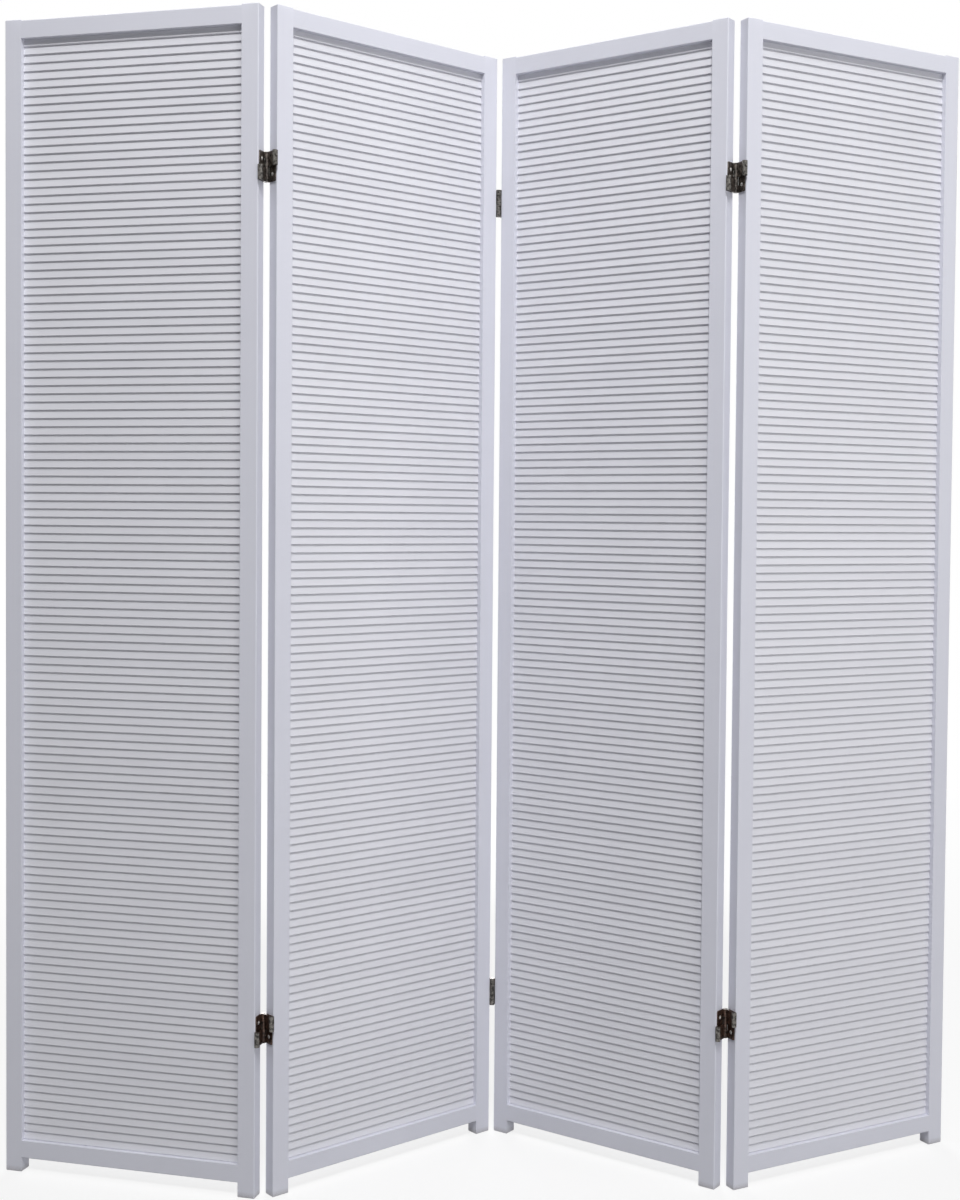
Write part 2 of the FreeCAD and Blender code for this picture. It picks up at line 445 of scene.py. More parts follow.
@dataclass(frozen=True)
class BronzeFinish:
    """Sheet steel, bronzed brown and mottled, with a painted grey reflection on the proud barrels and on
    the upper hinges.
    """

    dark: Colour = (0.009, 0.006, 0.005)
    light: Colour = (0.150, 0.082, 0.058)
    # Ends of the grey ramp: a painted reflection of the bright room on the barrels and the upper hinges.
    sheen_dark: Colour = (0.012, 0.011, 0.010)
    sheen_light: Colour = (0.250, 0.235, 0.215)
    metal: float = 0.55
    mottle_size: float = 4 * MM
    mottle_tone: Span = (-0.25, 0.95)
    scratch_width: float = 0.25 * MM
    scratch_length: float = 7 * MM
    scratch_tone: Span = (-0.1, 0.2)
    scratch_depth: float = 0.03 * MM
    scratch_strength: float = 0.25
    roughness: Span = (0.26, 0.44)
    mid_depth: float = 10 * MM
    sheen_reach: Span = (7 * MM, 13 * MM)

    def make(self) -> bpy.types.Material:
        """Return the bronzed steel as a material."""
        material, bench, shader = surface("bronzed_steel")
        shader.inputs["Metallic"].default_value = self.metal
        place = bench.attribute("panel_place", "Vector")
        mottle = bench.noise(place, (1.0 / self.mottle_size,) * 3, detail=4.0)
        across = 1.0 / self.scratch_width
        scratches = bench.noise(place, (across, across, 1.0 / self.scratch_length), detail=2.0)
        patches = bench.between(mottle, *self.mottle_tone)
        lines = bench.between(scratches, *self.scratch_tone)
        rubbed = bench.worked_out("ADD", patches, lines)
        # Blend the brown towards the painted grey reflection.
        blend = bench.add("ShaderNodeMixRGB")
        bench.wire(self.painted_sheen(bench, place), blend.inputs["Fac"])
        bench.wire(bench.shaded(rubbed, self.dark, self.light), blend.inputs["Color1"])
        bench.wire(bench.shaded(rubbed, self.sheen_dark, self.sheen_light), blend.inputs["Color2"])
        bench.wire(blend.outputs["Color"], shader.inputs["Base Color"])
        bench.wire(bench.between(scratches, *self.roughness), shader.inputs["Roughness"])
        bench.roughen(shader, scratches, self.scratch_strength, self.scratch_depth)
        return material

    def painted_sheen(self, bench: NodeBench, place: Socket) -> Socket:
        """Work out where a painted grey reflection covers the brown: on the proud barrels, and more on the
        upper hinges.

        Args:
            bench: The node bench of the material.
            place: The socket that gives the place on the piece.

        Returns:
            The socket that gives the painted reflection, from 0 to 1 and over.
        """
        split = bench.add("ShaderNodeSeparateXYZ")
        bench.wire(place, split.inputs["Vector"])
        deep = bench.add("ShaderNodeMath", operation="SUBTRACT")
        bench.wire(split.outputs["Y"], deep.inputs[0])
        deep.inputs[1].default_value = self.mid_depth
        proud = bench.worked_out("ABSOLUTE", deep.outputs["Value"])
        barrels = bench.mapped(proud, *self.sheen_reach, 0.0, 1.0)
        return bench.worked_out("ADD", barrels, bench.attribute("tone_and_sheen", "Fac"))


@dataclass(frozen=True)
class ScrewFinish:
    """Plain steel, turned and mottled, pale partly by its own colour and partly as a painted highlight on
    the heads.
    """

    # The pale end is partly the steel's own colour and partly a painted highlight.
    dark: Colour = (0.58, 0.56, 0.53)
    light: Colour = (0.86, 0.85, 0.83)
    metal: float = 0.5
    sheen_size: float = 1.5 * MM
    roughness: Span = (0.28, 0.44)

    def make(self) -> bpy.types.Material:
        """Return the screw steel as a material."""
        material, bench, shader = surface("screw_steel")
        shader.inputs["Metallic"].default_value = self.metal
        place = bench.attribute("panel_place", "Vector")
        painted_sheen = bench.noise(place, (1.0 / self.sheen_size,) * 3, detail=3.0)
        bench.wire(bench.shaded(painted_sheen, self.dark, self.light), shader.inputs["Base Color"])
        bench.wire(bench.between(painted_sheen, *self.roughness), shader.inputs["Roughness"])
        return material


@dataclass(frozen=True)
class Finishes:
    """The materials of the divider, made once and shared by its pieces."""

    stile_paint: bpy.types.Material
    rail_paint: bpy.types.Material
    slat_paint: bpy.types.Material
    bronze: bpy.types.Material
    screw: bpy.types.Material

    @classmethod
    def make(cls) -> "Finishes":
        """Make every material."""
        cool = {"shade": (0.697, 0.703, 0.785), "light": (0.777, 0.783, 0.865)}
        warm = {"shade": (0.693, 0.695, 0.748), "light": (0.773, 0.775, 0.828)}
        paints = (
            PaintFinish("stile", Brush.UPRIGHT, **cool, dark_foot_height=9 * MM),
            PaintFinish("rail", Brush.LEVEL, **cool),
            PaintFinish("slat", Brush.LEVEL, **warm),
        )
        return cls(*(paint.make() for paint in paints), BronzeFinish().make(), ScrewFinish().make())


@dataclass(frozen=True)
class Piece:
    """A finished piece: the CAD node that it stands for, and the body, finish and place that it gets."""

    node: str
    body: str
    slot: Slot
    material: bpy.types.Material
    place: Matrix
    smooth_below: float = math.radians(38.0)

    def set_down(self, mesh: BMesh, tone: float = 0.0) -> bpy.types.Object:
        """Turn a shape in the panel's own frame into an object that stands in its place.

        Args:
            mesh: The shape, which is used up.
            tone: How much lighter the piece is than its neighbours, from -1 to 1.

        Returns:
            The new object.
        """
        panel_place = mesh.verts.layers.float_vector.new("panel_place")
        tone_and_sheen = mesh.verts.layers.float.get("tone_and_sheen") or mesh.verts.layers.float.new("tone_and_sheen")
        for vert in mesh.verts:
            vert[panel_place] = vert.co
            vert[tone_and_sheen] += tone
        bmesh.ops.recalc_face_normals(mesh, faces=mesh.faces)
        for face in mesh.faces:
            face.smooth = True
        bmesh.ops.transform(mesh, matrix=self.place, verts=mesh.verts)
        name = f"{self.node}_{self.slot.value}"
        data = bpy.data.meshes.new(name)
        mesh.to_mesh(data)
        mesh.free()
        data.set_sharp_from_angle(angle=self.smooth_below)
        data.materials.append(self.material)
        piece = bpy.data.objects.new(name, data)
        bpy.context.scene.collection.objects.link(piece)
        shading = piece.modifiers.new("flat_faces_stay_flat", "WEIGHTED_NORMAL")
        shading.keep_sharp = True
        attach(piece, self.body)
        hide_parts(self.node)
        log.info("%s rides on %s: %d faces", name, self.body, len(data.polygons))
        return piece


@dataclass(frozen=True)
class PanelSizes:
    """The sizes that the pieces of a panel share, in its own frame: across from the left, deep, up."""

    width: float = 400 * MM
    height: float = 1700 * MM
    thickness: float = 20 * MM
    stile_width: float = 26 * MM
    rail_height: float = 26 * MM
    foot: float = 21 * MM
    horn: float = 1.5 * MM
    tenon_thickness: float = 8 * MM
    tenon_length: float = 14 * MM
    tenon_shoulder: float = 5 * MM
    mortise_clearance: float = 0.1 * MM
    outer_round: float = 1.6 * MM
    inner_round: float = 0.5 * MM
    slat_pitch: float = 12.05 * MM
    slat_thickness: float = 2.6 * MM
    slat_lap: float = 4 * MM
    slat_film: float = 0.1 * MM
    groove_depth: float = 6 * MM
    groove_clearance: float = 0.15 * MM

    def rail_span(self, level: RailLevel) -> Span:
        """Return the heights between which a rail lies."""
        if level is RailLevel.BOTTOM:
            return self.foot, self.foot + self.rail_height
        return self.height - self.horn - self.rail_height, self.height - self.horn

    @property
    def opening(self) -> Span:
        """The heights between which the slats show."""
        return self.rail_span(RailLevel.BOTTOM)[1], self.rail_span(RailLevel.TOP)[0]

    @property
    def slat_lean(self) -> float:
        """The angle at which a slat leans back, so that it lies on the one below."""
        return math.asin((self.slat_thickness + self.slat_film) / self.slat_pitch)

    @property
    def slat_width(self) -> float:
        """The width of a slat, along its lean."""
        return self.slat_pitch * math.cos(self.slat_lean) + self.slat_lap

    @property
    def slat_depth(self) -> float:
        """The depth that a leaning slat takes up."""
        lean = self.slat_lean
        return self.slat_width * math.sin(lean) + self.slat_thickness * math.cos(lean)

    @property
    def slat_front(self) -> float:
        """The depth at which the slats' lower edges lie."""
        return (self.thickness - self.slat_depth) / 2.0


@dataclass(frozen=True)
class Stile:
    """An upright of a panel, with mortises for the rails, a groove for the slats and a foot below."""

    sizes: PanelSizes
    side: Side

    def shape(self) -> BMesh:
        """Return the stile in the panel's frame."""
        sizes = self.sizes
        mesh = bmesh.new()
        inside = sizes.stile_width
        block(mesh, Vector(), Vector((inside, sizes.thickness, sizes.height)))
        spans = [sizes.rail_span(level) for level in RailLevel]
        strips = score(mesh, faces_on(mesh, x=inside), UP, [height for span in spans for height in span])
        for low, high in spans:
            self.sink_mortise(mesh, centred_between(strips, UP, low, high), low, high)
        self.sink_groove(mesh, centred_between(strips, UP, *sizes.opening))
        ends = edges_on(mesh, z=0.0) + edges_on(mesh, z=sizes.height)
        outer = edges_on(mesh, x=0.0, y=0.0) + edges_on(mesh, x=0.0, y=sizes.thickness)
        ease(mesh, ends + outer, sizes.outer_round, segments=4)
        ease(mesh, self.free_inner_edges(mesh, spans), sizes.inner_round, segments=2)
        if self.side is Side.RIGHT:
            mirror = Matrix.Translation(ACROSS * sizes.width) @ Matrix.Scale(-1.0, 4, ACROSS)
            bmesh.ops.transform(mesh, matrix=mirror, verts=mesh.verts)
        return mesh

    def sink_mortise(self, mesh: BMesh, strip: list[BMFace], low: float, high: float) -> None:
        """Sink the mortise of one rail.

        Args:
            mesh: The stile.
            strip: The part of its inner face that the rail butts against.
            low: The rail's underside.
            high: The rail's top.
        """
        sizes = self.sizes
        reach = sizes.tenon_thickness / 2.0 + sizes.mortise_clearance
        middle = sizes.thickness / 2.0
        walls = (middle - reach, middle + reach)
        floor = low + sizes.tenon_shoulder - sizes.mortise_clearance
        ceiling = high - sizes.tenon_shoulder + sizes.mortise_clearance
        mouth = centred_between(score(mesh, strip, DEEP, walls), DEEP, *walls)
        mouth = centred_between(score(mesh, mouth, UP, (floor, ceiling)), UP, floor, ceiling)
        draw_out(mesh, mouth, ACROSS * -(sizes.tenon_length + sizes.mortise_clearance))

    def sink_groove(self, mesh: BMesh, strip: list[BMFace]) -> None:
        """Sink the groove that holds the ends of the slats into the inner face between the rails."""
        sizes = self.sizes
        front = sizes.slat_front - sizes.groove_clearance
        back = sizes.slat_front + sizes.slat_depth + sizes.groove_clearance
        mouth = centred_between(score(mesh, strip, DEEP, (front, back)), DEEP, front, back)
        draw_out(mesh, mouth, ACROSS * -sizes.groove_depth)

    def free_inner_edges(self, mesh: BMesh, spans: list[Span]) -> list[BMEdge]:
        """Return the long inner edges, apart from the stretches where a rail butts against them."""
        inside = self.sizes.stile_width
        edges = edges_on(mesh, x=inside, y=0.0) + edges_on(mesh, x=inside, y=self.sizes.thickness)
        middles = {edge: sum(vert.co.z for vert in edge.verts) / 2.0 for edge in edges}
        return [edge for edge in edges if not any(low < middles[edge] < high for low, high in spans)]


@dataclass(frozen=True)
class Rail:
    """A cross bar of a panel, with a stub tenon at each end."""

    sizes: PanelSizes
    level: RailLevel

    def shape(self) -> BMesh:
        """Return the rail in the panel's frame."""
        sizes = self.sizes
        low, high = sizes.rail_span(self.level)
        left = sizes.stile_width
        right = sizes.width - sizes.stile_width
        mesh = bmesh.new()
        block(mesh, Vector((left, 0.0, low)), Vector((right, sizes.thickness, high)))
        for end, way in ((left, -ACROSS), (right, ACROSS)):
            self.draw_tenon(mesh, faces_on(mesh, x=end), way)
        inner, outer = (high, low) if self.level is RailLevel.BOTTOM else (low, high)
        ease(mesh, self.long_edges(mesh, outer), sizes.outer_round, segments=3)
        ease(mesh, self.long_edges(mesh, inner), sizes.inner_round, segments=2)
        return mesh

    def long_edges(self, mesh: BMesh, height: float) -> list[BMEdge]:
        """Return the front and back edges at a height."""
        return edges_on(mesh, y=0.0, z=height) + edges_on(mesh, y=self.sizes.thickness, z=height)

    def draw_tenon(self, mesh: BMesh, end: list[BMFace], way: Vector) -> None:
        """Draw the tenon out of an end face.

        Args:
            mesh: The rail.
            end: Its end face.
            way: The direction in which the tenon points.
        """
        sizes = self.sizes
        low, high = sizes.rail_span(self.level)
        cheeks = tuple((sizes.thickness + sign * sizes.tenon_thickness) / 2.0 for sign in (-1.0, 1.0))
        edges = (low + sizes.tenon_shoulder, high - sizes.tenon_shoulder)
        core = centred_between(score(mesh, end, DEEP, cheeks), DEEP, *cheeks)
        core = centred_between(score(mesh, core, UP, edges), UP, *edges)
        draw_out(mesh, core, way * sizes.tenon_length)


@dataclass(frozen=True)
class SlatStack:
    """The laths of a panel: they lean back, lap like clapboards and end in the stiles' grooves."""

    sizes: PanelSizes
    seed: int
    nose_round: float = 0.4 * MM
    edge_round: float = 0.25 * MM
    height_play: float = 0.10 * MM
    tilt_play: float = math.radians(0.25)
    tone_play: float = 0.16

    def shape(self) -> BMesh:
        """Return the whole stack in the panel's frame."""
        sizes = self.sizes
        low, high = sizes.opening
        ceiling = high - sizes.slat_film
        count = math.ceil((ceiling - low) / sizes.slat_pitch)
        chance = random.Random(self.seed)
        mesh = bmesh.new()
        mesh.verts.layers.float.new("tone_and_sheen")
        lath = self.lath()
        middle = Vector((0.0, sizes.thickness / 2.0, low + sizes.slat_width / 2.0))
        for step in range(count):
            tilt = Matrix.Rotation(chance.uniform(-1.0, 1.0) * self.tilt_play, 4, ACROSS)
            rise = step * sizes.slat_pitch + chance.uniform(0.0, 1.0) * self.height_play
            lightness = chance.uniform(-1.0, 1.0) * self.tone_play
            place = Matrix.Translation(middle + UP * rise) @ tilt @ Matrix.Translation(-middle)
            add_turned(mesh, lath, place, lightness)
        lath.free()
        self.trim(mesh, ceiling)
        return mesh

    def lath(self) -> BMesh:
        """Return the lowest lath."""
        sizes = self.sizes
        lean = sizes.slat_lean
        along = Vector((0.0, math.sin(lean), math.cos(lean))) * sizes.slat_width
        through = Vector((0.0, -math.cos(lean), math.sin(lean))) * sizes.slat_thickness
        housed = sizes.groove_depth - sizes.groove_clearance
        start = sizes.stile_width - housed
        heel = Vector((start, sizes.slat_front - through.y, sizes.opening[0] + sizes.slat_film))
        mesh = bmesh.new()
        nose = heel + through
        corners = [mesh.verts.new(place) for place in (heel, heel + along, nose + along, nose)]
        draw_out(mesh, [mesh.faces.new(corners)], ACROSS * (sizes.width - 2.0 * start))
        lower = edges_on(mesh, y=nose.y, z=nose.z)
        lengthwise = [edge for edge in mesh.edges if edge.calc_length() > sizes.width / 2.0]
        ease(mesh, [edge for edge in lengthwise if edge not in lower], self.edge_round, segments=1)
        ease(mesh, edges_on(mesh, y=nose.y, z=nose.z), self.nose_round, segments=3)
        return mesh

    def trim(self, mesh: BMesh, ceiling: float) -> None:
        """Cut the highest lath off level under the top rail."""
        everything = [*mesh.verts, *mesh.edges, *mesh.faces]
        plane = {"plane_co": UP * ceiling, "plane_no": UP}
        cut = bmesh.ops.bisect_plane(mesh, geom=everything, dist=TOUCH, clear_outer=True, **plane)
        rim = [piece for piece in cut["geom_cut"] if isinstance(piece, BMEdge)]
        bmesh.ops.holes_fill(mesh, edges=rim, sides=0)


@dataclass(frozen=True)
class Panel:
    """One panel of the divider: two stiles, two rails and the slats between them."""

    number: int
    place: Matrix
    sizes: PanelSizes
    finishes: Finishes
    tone_play: float = 0.05

    @property
    def body(self) -> str:
        """The body that the panel rides on."""
        return f"panel_{self.number}"

    def painted(self, part: str, paint: bpy.types.Material) -> Piece:
        """Return the piece that stands for one of the panel's painted parts."""
        return Piece(f"{self.body}_{part}", self.body, Slot.PAINT, paint, self.place)

    def build(self) -> None:
        """Make the panel's pieces."""
        chance = random.Random(self.number)
        for side in Side:
            stile = Stile(self.sizes, side).shape()
            tone = chance.uniform(-1.0, 1.0) * self.tone_play
            self.painted(f"{side.value}_stile", self.finishes.stile_paint).set_down(stile, tone)
        for level in RailLevel:
            rail = Rail(self.sizes, level).shape()
            tone = chance.uniform(-1.0, 1.0) * self.tone_play
            self.painted(f"{level.value}_rail", self.finishes.rail_paint).set_down(rail, tone)
        slats = SlatStack(self.sizes, self.number).shape()
        self.painted("slats", self.finishes.slat_paint).set_down(slats)


@dataclass(frozen=True)
class HingeSizes:
    """The sizes of a two-way hinge, in its own frame: across the gap, deep, up, from its middle."""

    height: float = 42.5 * MM
    barrel_radius: float = 3.8 * MM
    sheet: float = 1.5 * MM
    corner_round: float = 2.0 * MM
    knuckle_gap: float = 0.3 * MM
    pin_clearance: float = 0.05 * MM
    pivot_reach: float = 11.0 * MM
    sheet_clearance: float = 0.3 * MM
    roll_steps: int = 20
    seam: float = math.radians(54.0)
    screw_head_radius: float = 2.8 * MM
    screw_shank_radius: float = 1.5 * MM
    screw_length: float = 12.5 * MM
    countersink_clearance: float = 0.08 * MM

    @property
    def bore_radius(self) -> float:
        """The radius inside a rolled knuckle."""
        return self.barrel_radius - self.sheet

    @property
    def barrel_span(self) -> Span:
        """The heights between which an upper barrel lies."""
        return self.knuckle_gap / 2.0, self.height / 2.0

    @property
    def knuckle_length(self) -> float:
        """The length of one of a barrel's two knuckles."""
        low, high = self.barrel_span
        return (high - low - self.knuckle_gap) / 2.0

    @property
    def link_reach(self) -> float:
        """How far a link's sheet reaches from mid-depth, clear of the barrels."""
        return self.pivot_reach - self.barrel_radius - self.sheet_clearance

    @property
    def leaf_reach(self) -> float:
        """How far a leaf's sheet reaches from mid-depth, beside the barrels and clear of them."""
        clear = self.barrel_radius + self.sheet_clearance
        return self.pivot_reach - math.sqrt(clear**2 - self.bore_radius**2)

    @property
    def screw_rise(self) -> float:
        """How far a screw lies above or below the hinge's middle."""
        return self.height / 4.0


@dataclass(frozen=True)
class Leaf:
    """The leaf to the right of the gap: a sheet with an upper front and a lower back knuckle."""

    sizes: HingeSizes
    corner_segments: int = 4
    hole_sides: int = 16

    def shape(self) -> BMesh:
        """Return the leaf in the hinge's frame."""
        mesh = self.sheet()
        sizes = self.sizes
        inner_end = sizes.height / 2.0 - sizes.knuckle_length
        for sign in (-1.0, 1.0):
            edge = faces_on(mesh, y=sign * sizes.leaf_reach)
            tongue = centred_between(edge, UP * -sign, inner_end, sizes.height / 2.0)
            self.roll(mesh, tongue, sign)
        return mesh

    def sheet(self) -> BMesh:
        """Return the flat of the leaf, with its free corners rounded and its screw holes countersunk."""
        sizes = self.sizes
        reach = sizes.leaf_reach
        top = sizes.height / 2.0
        inner_end = top - sizes.knuckle_length
        back = sizes.barrel_radius
        front = ((-reach, -top), (-reach, inner_end), (-reach, top))
        outline = (*front, (reach, top), (reach, -inner_end), (reach, -top))
        mesh = bmesh.new()
        corners = [mesh.verts.new((back, deep, up)) for deep, up in outline]
        mesh.faces.new(corners)
        free = [corners[0], corners[3]]
        ease(mesh, free, sizes.corner_round, self.corner_segments, affect="VERTICES")
        bmesh.ops.delete(mesh, geom=mesh.faces[:], context="FACES_ONLY")
        hole = sizes.screw_shank_radius + sizes.countersink_clearance
        upright = Matrix.Rotation(math.pi / 2.0, 4, DEEP)
        for rise in (-sizes.screw_rise, sizes.screw_rise):
            place = Matrix.Translation((back, 0.0, rise)) @ upright
            bmesh.ops.create_circle(mesh, segments=self.hole_sides, radius=hole, matrix=place)
        rims = mesh.edges[:]
        bmesh.ops.triangle_fill(mesh, use_beauty=True, use_dissolve=False, edges=rims, normal=ACROSS)
        draw_out(mesh, mesh.faces[:], ACROSS * -sizes.sheet)
        self.countersink(mesh, hole)
        return mesh

    def countersink(self, mesh: BMesh, hole: float) -> None:
        """Open the screw holes out on the side of the gap, where the heads sit.

        Args:
            mesh: The leaf.
            hole: The radius of its screw holes.
        """
        sizes = self.sizes
        open_side = sizes.barrel_radius - sizes.sheet
        growth = (sizes.screw_head_radius + sizes.countersink_clearance) / hole
        for rise in (-sizes.screw_rise, sizes.screw_rise):
            centre = Vector((open_side, 0.0, rise))
            rim = [vert for vert in mesh.verts if (vert.co - centre).length < hole + TOUCH]
            about = Matrix.Translation(-centre)
            bmesh.ops.scale(mesh, vec=(1.0, growth, growth), space=about, verts=rim)

    def roll(self, mesh: BMesh, tongue: list[BMFace], sign: float) -> None:
        """Roll a tongue of the sheet round the place of the pin.

        Args:
            mesh: The leaf.
            tongue: The edge face of the tongue.
            sign: -1 for the front knuckle, 1 for the back one.
        """
        sizes = self.sizes
        way = DEEP * sign
        end = draw_out(mesh, tongue, way * (sizes.pivot_reach - sizes.leaf_reach))
        rim = [*end, *end[0].edges, *end[0].verts]
        turn = sign * (2.0 * math.pi - sizes.seam)
        axis = way * sizes.pivot_reach
        roll = {"cent": axis, "axis": UP, "angle": turn, "steps": sizes.roll_steps}
        bmesh.ops.spin(mesh, geom=rim, use_duplicate=False, **roll)


@dataclass(frozen=True)
class Link:
    """The link in a hinge's upper half, which joins the front barrel to the back one through the gap."""

    sizes: HingeSizes
    barrel_sides: int = 16

    def shape(self) -> BMesh:
        """Return the link in the hinge's frame."""
        sizes = self.sizes
        low, high = sizes.barrel_span
        knuckle_top = low + sizes.knuckle_length
        mesh = bmesh.new()
        half = sizes.sheet / 2.0
        block(mesh, Vector((-half, -sizes.link_reach, low)), Vector((half, sizes.link_reach, high)))
        for sign in (-1.0, 1.0):
            edge = score(mesh, faces_on(mesh, y=sign * sizes.link_reach), UP, (knuckle_top,))
            neck = centred_between(edge, UP, low, knuckle_top)
            facet = self.knuckle(mesh, sign, low, knuckle_top)
            rims = [*neck[0].edges, *facet.edges]
            bmesh.ops.delete(mesh, geom=[neck[0], facet], context="FACES_ONLY")
            bmesh.ops.bridge_loops(mesh, edges=rims)
        return mesh

    def knuckle(self, mesh: BMesh, sign: float, low: float, high: float) -> BMFace:
        """Add a knuckle to the link.

        Args:
            mesh: The link.
            sign: -1 for the front knuckle, 1 for the back one.
            low: The knuckle's lower end.
            high: Its upper end.

        Returns:
            The facet of the knuckle that the sheet meets.
        """
        sizes = self.sizes
        axis = DEEP * sign * sizes.pivot_reach
        first = Matrix.Rotation(math.pi / self.barrel_sides, 3, UP) @ (DEEP * -sign)
        radii = (sizes.bore_radius, sizes.barrel_radius)
        outline = ((radii[0], low), (radii[1], low), (radii[1], high), (radii[0], high))
        corners = [mesh.verts.new(axis + first * radius + UP * height) for radius, height in outline]
        wall = [mesh.edges.new((corners[place - 1], corners[place])) for place in range(len(corners))]
        turn_full(mesh, [*corners, *wall], axis, self.barrel_sides)
        toward = axis - DEEP * sign * sizes.barrel_radius + UP * (low + high) / 2.0
        return min(mesh.faces, key=lambda face: (face.calc_center_median() - toward).length)


@dataclass(frozen=True)
class HingePin:
    """The pin of an upper front barrel, with rounded ends."""

    sizes: HingeSizes
    sides: int = 20
    end_round: float = 0.6 * MM

    def shape(self) -> BMesh:
        """Return the pin in the hinge's frame."""
        sizes = self.sizes
        low, high = sizes.barrel_span
        radius = sizes.bore_radius - sizes.pin_clearance
        place = Matrix.Translation((0.0, -sizes.pivot_reach, (low + high) / 2.0))
        mesh = bmesh.new()
        bmesh.ops.create_cone(
            mesh,
            cap_ends=True,
            segments=self.sides,
            radius1=radius,
            radius2=radius,
            depth=high - low,
            matrix=place,
        )
        ease(mesh, edges_on(mesh, z=low) + edges_on(mesh, z=high), self.end_round, segments=3)
        return mesh


@dataclass(frozen=True)
class WoodScrew:
    """A countersunk screw with a cross recess, on the panel to the right of the gap."""

    sizes: HingeSizes
    sides: int = 16
    head_rise: float = 0.5 * MM
    flat_share: float = 0.60
    dome_share: float = 0.85
    dome_rise_share: float = 0.62
    recess_reach: float = 1.55 * MM
    recess_width: float = 0.75 * MM
    recess_depth: float = 0.8 * MM
    point_length: float = 4.0 * MM

    def shape(self) -> BMesh:
        """Return the upper screw in the hinge's frame."""
        sizes = self.sizes
        mesh = bmesh.new()
        head = sizes.screw_head_radius
        shank = sizes.screw_shank_radius
        neck = head - shank
        side = (
            (head * self.flat_share, self.head_rise),
            (head * self.dome_share, self.head_rise * self.dome_rise_share),
            (head, 0.0),
            (shank, -neck),
            (shank, self.point_length - sizes.screw_length),
            (0.0, -sizes.screw_length),
        )
        points = [mesh.verts.new((radius, 0.0, height)) for radius, height in side]
        edges = [mesh.edges.new(pair) for pair in zip(points, points[1:])]
        turn_full(mesh, [*points, *edges], Vector(), self.sides)
        bmesh.ops.remove_doubles(mesh, verts=mesh.verts, dist=TOUCH)
        top = bmesh.ops.holes_fill(mesh, edges=edges_on(mesh, z=self.head_rise), sides=0)["faces"]
        self.sink_cross(mesh, top)
        place = Matrix.Translation((sizes.bore_radius, 0.0, sizes.screw_rise))
        bmesh.ops.transform(mesh, matrix=place @ Matrix.Rotation(-math.pi / 2.0, 4, DEEP), verts=mesh.verts)
        return mesh

    def sink_cross(self, mesh: BMesh, top: list[BMFace]) -> None:
        """Sink the cross recess into the head.

        Args:
            mesh: The screw, standing on its point.
            top: The flat of its head.
        """
        wall = self.recess_width / 2.0
        places = (-self.recess_reach, -wall, wall, self.recess_reach)
        plots = score(mesh, score(mesh, top, ACROSS, places), DEEP, places)
        cross = []
        for plot in plots:
            middle = plot.calc_center_median()
            near = min(abs(middle.x), abs(middle.y)) < wall
            if near and max(abs(middle.x), abs(middle.y)) < self.recess_reach:
                cross.append(plot)
        draw_out(mesh, cross, UP * -self.recess_depth)


@dataclass(frozen=True)
class HingeLine:
    """The upper and the lower two-way hinge between two panels."""

    name: str
    left_panel: int
    pivot: Pivot
    places: dict[int, Matrix]
    panel: PanelSizes
    sizes: HingeSizes
    finishes: Finishes
    # How strongly the painted grey reflection covers the upper hinges.
    upper_sheen: float = 0.6

    def build(self) -> None:
        """Make the hardware on both panels' edges, and the pins that the line turns on."""
        self.fit(self.left_panel, Side.RIGHT)
        self.fit(self.left_panel + 1, Side.LEFT)
        pin = HingePin(self.sizes).shape()
        turns = [Matrix.Identity(4), half_turn(DEEP)]
        if self.pivot is Pivot.BEHIND:
            turns = [half_turn(UP) @ turn for turn in turns]
        piece = self.metal(f"{self.name}_pins", self.left_panel, Slot.BRONZE)
        piece.set_down(self.hung(pin, turns, self.left_panel, Side.RIGHT))

    def fit(self, number: int, side: Side) -> None:
        """Make the hardware on one edge.

        Args:
            number: The panel's number.
            side: The edge of the panel that faces the gap.
        """
        over = half_turn(DEEP) if side is Side.RIGHT else Matrix.Identity(4)
        behind = self.pivot is Pivot.BEHIND
        link_turn = over if behind else over @ half_turn(DEEP)
        idle_turn = over if behind else over @ half_turn(ACROSS)
        node = f"panel_{number}_{side.value}_hinge"
        lower_screw = half_turn(ACROSS)
        parts = (
            ("leaves", Slot.BRONZE, Leaf(self.sizes).shape(), [over]),
            ("links", Slot.BRONZE, Link(self.sizes).shape(), [link_turn]),
            ("idle_pins", Slot.BRONZE, HingePin(self.sizes).shape(), [idle_turn]),
            ("screws", Slot.SCREW, WoodScrew(self.sizes).shape(), [over, over @ lower_screw]),
        )
        for part, slot, shape, turns in parts:
            self.metal(f"{node}_{part}", number, slot).set_down(self.hung(shape, turns, number, side))

    def metal(self, node: str, number: int, slot: Slot) -> Piece:
        """Return the piece that stands for a node of the hardware."""
        material = self.finishes.bronze if slot is Slot.BRONZE else self.finishes.screw
        return Piece(node, f"panel_{number}", slot, material, self.places[number])

    def hung(self, shape: BMesh, turns: list[Matrix], number: int, side: Side) -> BMesh:
        """Hang copies of a shape on both hinges of an edge.

        Args:
            shape: The shape in the hinge's frame, which is used up.
            turns: How each copy is turned over in that frame.
            number: The panel's number.
            side: The edge of the panel.

        Returns:
            The copies in the panel's frame.
        """
        low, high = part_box(f"panel_{number}_{side.value}_hinge_leaves")
        half = self.sizes.height / 2.0
        gap = self.sizes.barrel_radius
        edge = -gap if side is Side.LEFT else self.panel.width + gap
        mesh = bmesh.new()
        mesh.verts.layers.float.new("tone_and_sheen")
        # The lower hinges get no painted reflection and the upper ones get some, through the tone layer.
        for height, painted_sheen in ((low[2] + half, 0.0), (high[2] - half, self.upper_sheen)):
            middle = Matrix.Translation((edge, self.panel.thickness / 2.0, height))
            for turn in turns:
                add_turned(mesh, shape, middle @ turn, painted_sheen)
        shape.free()
        return mesh


